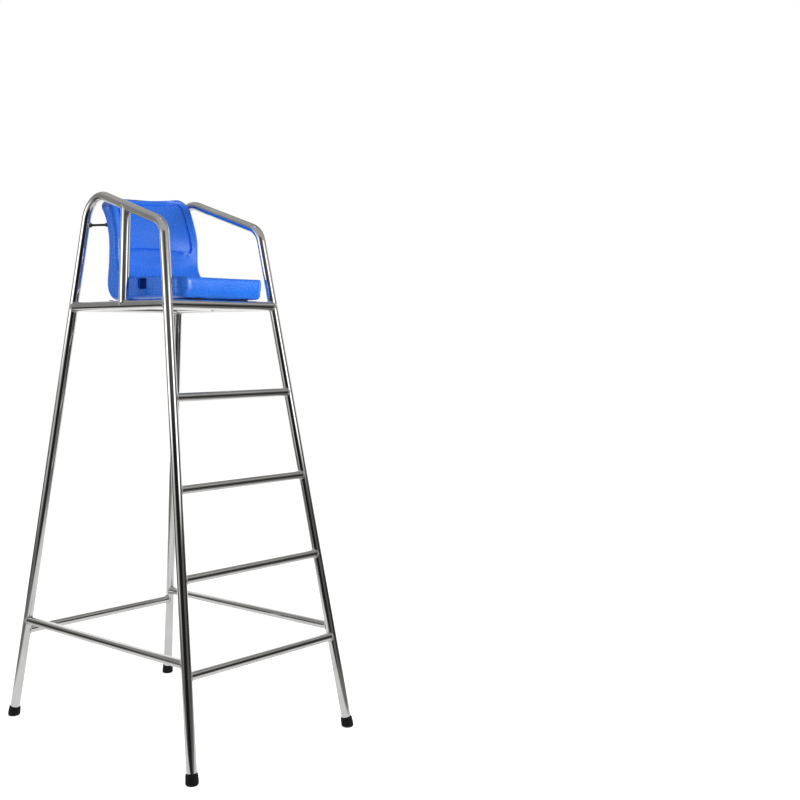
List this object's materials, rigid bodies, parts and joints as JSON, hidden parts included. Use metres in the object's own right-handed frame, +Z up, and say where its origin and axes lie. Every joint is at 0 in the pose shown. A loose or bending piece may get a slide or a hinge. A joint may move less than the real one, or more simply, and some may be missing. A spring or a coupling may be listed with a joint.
{
  "type": "lifeguard chair",
  "caption": "Tall lifeguard chair: welded polished steel tube frame with a ladder front, bent tube armrests and a moulded plastic seat with a raised back, on rubber feet.",
  "frame": {"origin": "on the floor under the middle of the four feet", "axes": "+Z up; the sitter and the ladder face -Y; +X is the right side as seen from the front"},
  "size_m": [0.7074, 1.013, 1.7979],
  "materials": {
    "polished_steel": "polished stainless steel with fine drawing marks along the tube",
    "blue_plastic": "blow-moulded polyethylene, semi-gloss with a fine moulding grain",
    "black_rubber": "matt moulded rubber"
  },
  "bodies": {
    "root": {"left_side_hoop": "polished_steel", "right_side_hoop": "polished_steel", "lower_rung": "polished_steel", "middle_rung": "polished_steel", "upper_rung": "polished_steel", "front_stretcher": "polished_steel", "rear_stretcher": "polished_steel", "left_stretcher": "polished_steel", "right_stretcher": "polished_steel", "front_seat_rail": "polished_steel", "rear_seat_rail": "polished_steel", "left_seat_rail": "polished_steel", "right_seat_rail": "polished_steel", "arm_strut": "polished_steel", "seat_support_tube": "polished_steel", "left_seat_strap": "polished_steel", "right_seat_strap": "polished_steel", "front_left_seat_bolt": "polished_steel", "front_right_seat_bolt": "polished_steel", "rear_left_seat_bolt": "polished_steel", "rear_right_seat_bolt": "polished_steel", "left_back_stay": "polished_steel", "right_back_stay": "polished_steel", "left_stay_nut": "polished_steel", "right_stay_nut": "polished_steel", "seat_shell": "blue_plastic", "front_left_foot": "black_rubber", "front_right_foot": "black_rubber", "rear_left_foot": "black_rubber", "rear_right_foot": "black_rubber"}
  },
  "joints": []
}
